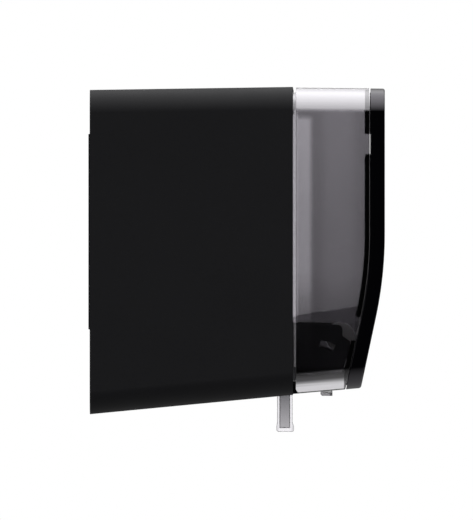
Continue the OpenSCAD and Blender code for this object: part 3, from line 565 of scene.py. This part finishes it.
def moulding(node, name, radius, kind, pick=None, front=0.0, room=SNUG):
    """A piece with the CAD node's shape, its sharp edges rounded, that stands for the node."""
    bm = bmesh.new()
    bm.from_mesh(frame["nodes"][node].data)
    bmesh.ops.remove_doubles(bm, verts=bm.verts, dist=MERGED)
    bmesh.ops.dissolve_limit(bm, angle_limit=COPLANAR, verts=bm.verts[:], edges=bm.edges[:])
    for face in bm.faces:
        face.smooth = True
    for edge in bm.edges:
        edge.smooth = not bent(edge, CREASE)
    if front:
        lip = [e for e in bm.edges if bent(e, SHARP) and outline(e)
               and any(face.normal.y < -FRONT for face in e.link_faces)]
        round_off(bm, lip, front, LIP_STEPS)
    # An edge with too short a neighbour stays sharp: that would hold the radius down or cross it.
    rims = [e for e in bm.edges if bent(e, SHARP)
            and all(o.calc_length() > room * radius for v in e.verts for o in v.link_edges)]
    if pick:
        rims = [e for e in rims if pick(e)]
    round_off(bm, rims, radius, BEVEL_STEPS)
    bm.normal_update()
    for edge in bm.edges:
        edge.smooth = edge.smooth and not bent(edge, SHARP)
    mesh = bpy.data.meshes.new(name)
    bm.to_mesh(mesh)
    bm.free()
    mesh.materials.append(finish_of(kind))
    piece = bpy.data.objects.new(name, mesh)
    bpy.context.scene.collection.objects.link(piece)
    even = piece.modifiers.new("even_shading", "WEIGHTED_NORMAL")
    even.keep_sharp = True
    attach(piece, frame["nodes"][node]["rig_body"])
    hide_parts(node)
    return piece


def repaint(kind, *nodes):
    """Gives CAD nodes that stay as they are one of the finishes."""
    for node in nodes:
        mesh = frame["nodes"][node].data
        mesh.materials.clear()
        mesh.materials.append(finish_of(kind))


class DISPENSER_OT_housing(bpy.types.Operator):
    """Black housing and the plate behind it"""

    bl_idname = "dispenser.housing"
    bl_label = "Housing"

    def execute(self, context):
        sizes = context.scene.dispenser_sizes
        moulding("rear_housing", "housing_shell", sizes.shell_edge, "matt_black",
                 outline, room=ROOMY)
        moulding("wall_plate", "wall_plate_board", sizes.part_edge, "matt_black")
        return {"FINISHED"}


class DISPENSER_OT_cover(bpy.types.Operator):
    """Clear smoke cover"""

    bl_idname = "dispenser.cover"
    bl_label = "Cover"

    def execute(self, context):
        sizes = context.scene.dispenser_sizes
        moulding("front_cover", "cover_moulding", sizes.cover_edge, "smoke_cover",
                 outline, room=ROOMY)
        return {"FINISHED"}


class DISPENSER_OT_face(bpy.types.Operator):
    """Gloss black face plate"""

    bl_idname = "dispenser.face"
    bl_label = "Face plate"

    def execute(self, context):
        sizes = context.scene.dispenser_sizes
        moulding("face_plate", "face_moulding", sizes.cover_edge, "gloss_black",
                 front=sizes.face_edge)
        return {"FINISHED"}


class DISPENSER_OT_door(bpy.types.Operator):
    """Smoke sliding door and the clear lever under it"""

    bl_idname = "dispenser.door"
    bl_label = "Sliding door"

    def execute(self, context):
        sizes = context.scene.dispenser_sizes
        moulding("sliding_door", "door_moulding", sizes.metal_edge, "smoke_door",
                 straight)
        moulding("slide_lever", "lever_moulding", sizes.part_edge, "clear_lever")
        return {"FINISHED"}


class DISPENSER_OT_tear_bar(bpy.types.Operator):
    """Toothed bar that the paper is torn on"""

    bl_idname = "dispenser.tear_bar"
    bl_label = "Tear bar"

    def execute(self, context):
        sizes = context.scene.dispenser_sizes
        moulding("tear_bar", "tear_bar_moulding", sizes.metal_edge, "hazy_bar")
        return {"FINISHED"}


class DISPENSER_OT_rails(bpy.types.Operator):
    """Black brackets, the rod between them and the rear rail"""

    bl_idname = "dispenser.rails"
    bl_label = "Rails"

    def execute(self, context):
        sizes = context.scene.dispenser_sizes
        for side in SIDES:
            moulding(f"rail_bracket_{side}", f"bracket_moulding_{side}", sizes.part_edge,
                     "bracket_black")
        moulding("guide_rod", "guide_rod_moulding", sizes.metal_edge, "rod_white")
        moulding("rear_rail", "rear_rail_moulding", sizes.part_edge, "carrier_grey")
        return {"FINISHED"}


class DISPENSER_OT_carrier(bpy.types.Operator):
    """Grey roll carrier with its cheeks and the sprung centre holder"""

    bl_idname = "dispenser.carrier"
    bl_label = "Roll carrier"

    def execute(self, context):
        sizes = context.scene.dispenser_sizes
        for node in ("carrier_back", "cheek_left", "cheek_right", "centre_arm", "sleeve_cap_left",
                     "sleeve_cap_right", "plunger_left", "plunger_right"):
            moulding(node, node + "_moulding", sizes.part_edge, "carrier_grey")
        return {"FINISHED"}


class DISPENSER_OT_hubs(bpy.types.Operator):
    """Hubs that turn with the rolls"""

    bl_idname = "dispenser.hubs"
    bl_label = "Hubs"

    def execute(self, context):
        sizes = context.scene.dispenser_sizes
        for place in ("inner", "outer"):
            for side in SIDES:
                moulding(f"{place}_hub_{side}", f"{place}_hub_moulding_{side}", sizes.part_edge,
                         "carrier_grey")
        return {"FINISHED"}


class DISPENSER_OT_lock(bpy.types.Operator):
    """Key lock with its cam"""

    bl_idname = "dispenser.lock"
    bl_label = "Lock"

    def execute(self, context):
        sizes = context.scene.dispenser_sizes
        for node in ("lock_sleeve", "lock_barrel"):
            moulding(node, node + "_turned", sizes.metal_edge, "nickel")
        for node in ("lock_nut", "lock_cam"):
            moulding(node, node + "_pressed", sizes.metal_edge, "zinc")
        return {"FINISHED"}


class DISPENSER_OT_steel(bpy.types.Operator):
    """Screws, pins, axles, clips and springs"""

    bl_idname = "dispenser.steel"
    bl_label = "Small steel parts"

    def execute(self, context):
        # Each spring keeps the shape of its CAD node, in a mesh of its own.
        for side in SIDES:
            spring, slide = f"hub_spring_{side}", f"{side}_plunger_slide"
            coil = moulding(spring, f"hub_spring_coil_{side}", 0.0, "wire",
                            untouched)
            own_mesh(coil)
        repaint("zinc", "outer_axles", "outer_clips", "inner_clip_left", "inner_clip_right",
                "hinge_pins", "cam_screw", "carrier_screws", "cheek_screws", "arm_screws",
                "bracket_screws", "rail_screws", "lever_screws")
        return {"FINISHED"}


def lay_floor(scene):
    """A pale floor that the camera sees, and that shines nothing back onto the object."""
    mesh = bpy.data.meshes.new("floor")
    bm = bmesh.new()
    bmesh.ops.create_grid(bm, x_segments=1, y_segments=1, size=FLOOR_HALF)
    bmesh.ops.translate(bm, verts=bm.verts, vec=(0.0, 0.0, FLOOR_HEIGHT))
    bm.to_mesh(mesh)
    bm.free()
    floor = bpy.data.objects.new("floor", mesh)
    scene.collection.objects.link(floor)
    floor.visible_diffuse = floor.visible_glossy = floor.visible_transmission = False
    floor.visible_shadow = False
    made, tree, _ = blank("board_painted_pale")
    paint = add(tree, "ShaderNodeBsdfDiffuse", {"Color": FLOOR_GREY})
    # It has an upper side only, so that the object can be looked at from below.
    under = add(tree, "ShaderNodeNewGeometry")
    gone = add(tree, "ShaderNodeBsdfTransparent")
    board = add(tree, "ShaderNodeMixShader", {
        0: under.outputs["Backfacing"], 1: paint.outputs["BSDF"], 2: gone.outputs["BSDF"]})
    add(tree, "ShaderNodeOutputMaterial", {"Surface": board.outputs["Shader"]})
    mesh.materials.append(made)


def light_dome(scene):
    """A dome of soft light: bright overhead, faint from below, a white card behind the object."""
    world = bpy.data.worlds.new("studio")
    scene.world = world
    world.use_nodes = True
    tree = world.node_tree
    tree.nodes.clear()
    path = add(tree, "ShaderNodeLightPath")
    way = add(tree, "ShaderNodeTexCoord").outputs["Generated"]
    way = add(tree, "ShaderNodeSeparateXYZ", {"Vector": way}).outputs
    # What comes from above comes less from the far side.
    above = add(tree, "ShaderNodeMapRange", {
        "Value": way["Z"], "From Min": 0.04, "To Min": LEVEL_LIGHT, "To Max": OVERHEAD})
    near = add(tree, "ShaderNodeMapRange", {
        "Value": way["X"], "From Min": 0.4, "From Max": 0.95, "To Min": 1.0, "To Max": 0.15})
    above = add(tree, "ShaderNodeMath", {
        0: above.outputs["Result"], 1: near.outputs["Result"]}, operation="MULTIPLY")
    # What comes from below comes more from the front and the back than from straight under.
    below = add(tree, "ShaderNodeMapRange", {
        "Value": way["Z"], "From Min": -0.16, "From Max": -1.0, "To Max": UNDERNEATH})
    aside = add(tree, "ShaderNodeMath", {0: way["Y"]}, operation="ABSOLUTE")
    spread = add(tree, "ShaderNodeMapRange", {
        "Value": aside.outputs[0], "From Min": 0.1, "From Max": 0.5,
        "To Min": 0.75, "To Max": 1.15})
    below = add(tree, "ShaderNodeMath", {
        0: below.outputs["Result"], 1: spread.outputs["Result"]}, operation="MULTIPLY")
    card = add(tree, "ShaderNodeMapRange", {
        "Value": way["X"], "From Min": 0.93, "From Max": 0.985, "To Max": CARD})
    dome = add(tree, "ShaderNodeMath", {0: above.outputs[0], 1: below.outputs[0]}, operation="ADD")
    dome = add(tree, "ShaderNodeMath", {
        0: dome.outputs[0], 1: card.outputs["Result"]}, operation="ADD")
    # The camera itself sees plain white.
    strength = add(tree, "ShaderNodeMix", {
        "Factor": path.outputs["Is Camera Ray"], "A": dome.outputs[0], "B": 1.0},
        data_type="FLOAT")
    sky = add(tree, "ShaderNodeBackground", {
        "Color": WHITE, "Strength": strength.outputs["Result"]})
    add(tree, "ShaderNodeOutputWorld", {"Surface": sky.outputs["Background"]})


def set_camera(scene):
    """A camera far off on the dispenser's left, with a long lens."""
    lens = bpy.data.cameras.new("camera")
    lens.sensor_width = SENSOR
    lens.lens = SENSOR * CAMERA_AWAY / FRAME_HEIGHT
    lens.clip_end = CAMERA_REACH
    camera = bpy.data.objects.new("camera", lens)
    scene.collection.objects.link(camera)
    # It looks at the middle of the frame, from a place between the cover's two seams, so that the
    # near and far side of each lie in line.
    target = Vector((-146.0 * MM, -90.1 * MM, -17.2 * MM))
    camera.location = (target.x - CAMERA_AWAY, BETWEEN_SEAMS, target.z)
    camera.rotation_euler = (target - camera.location).to_track_quat("-Z", "Y").to_euler()
    scene.camera = camera


class DISPENSER_OT_stage(bpy.types.Operator):
    """Pale floor, soft lights and the camera"""

    bl_idname = "dispenser.stage"
    bl_label = "Stage"

    def execute(self, context):
        scene = context.scene
        lay_floor(scene)
        light_dome(scene)
        set_camera(scene)
        scene.view_settings.view_transform = "Standard"
        scene.view_settings.look = "None"
        return {"FINISHED"}


OPERATORS = (
    DISPENSER_OT_housing, DISPENSER_OT_cover, DISPENSER_OT_face, DISPENSER_OT_door,
    DISPENSER_OT_tear_bar, DISPENSER_OT_rails, DISPENSER_OT_carrier, DISPENSER_OT_hubs,
    DISPENSER_OT_lock, DISPENSER_OT_steel, DISPENSER_OT_stage)


class DISPENSER_PT_panel(bpy.types.Panel):
    """Sidebar list of the sizes, the colours and the steps"""

    bl_idname = "DISPENSER_PT_panel"
    bl_label = "Dispenser"
    bl_space_type = "VIEW_3D"
    bl_region_type = "UI"
    bl_category = "Dispenser"

    def draw(self, context):
        for group in (context.scene.dispenser_sizes, context.scene.dispenser_colours):
            for name in group.__annotations__:
                self.layout.prop(group, name)
        for operator in OPERATORS:
            self.layout.operator(operator.bl_idname)


CLASSES = (DispenserSizes, DispenserColours) + OPERATORS + (DISPENSER_PT_panel,)


def register():
    for kind in CLASSES:
        bpy.utils.register_class(kind)
    bpy.types.Scene.dispenser_sizes = bpy.props.PointerProperty(type=DispenserSizes)
    bpy.types.Scene.dispenser_colours = bpy.props.PointerProperty(type=DispenserColours)


def unregister():
    del bpy.types.Scene.dispenser_colours
    del bpy.types.Scene.dispenser_sizes
    for kind in reversed(CLASSES):
        bpy.utils.unregister_class(kind)


def main():
    register()
    bpy.ops.dispenser.housing()
    bpy.ops.dispenser.cover()
    bpy.ops.dispenser.face()
    bpy.ops.dispenser.door()
    bpy.ops.dispenser.tear_bar()
    bpy.ops.dispenser.rails()
    bpy.ops.dispenser.carrier()
    bpy.ops.dispenser.hubs()
    bpy.ops.dispenser.lock()
    bpy.ops.dispenser.steel()
    bpy.ops.dispenser.stage()


if __name__ == "__main__":
    main()
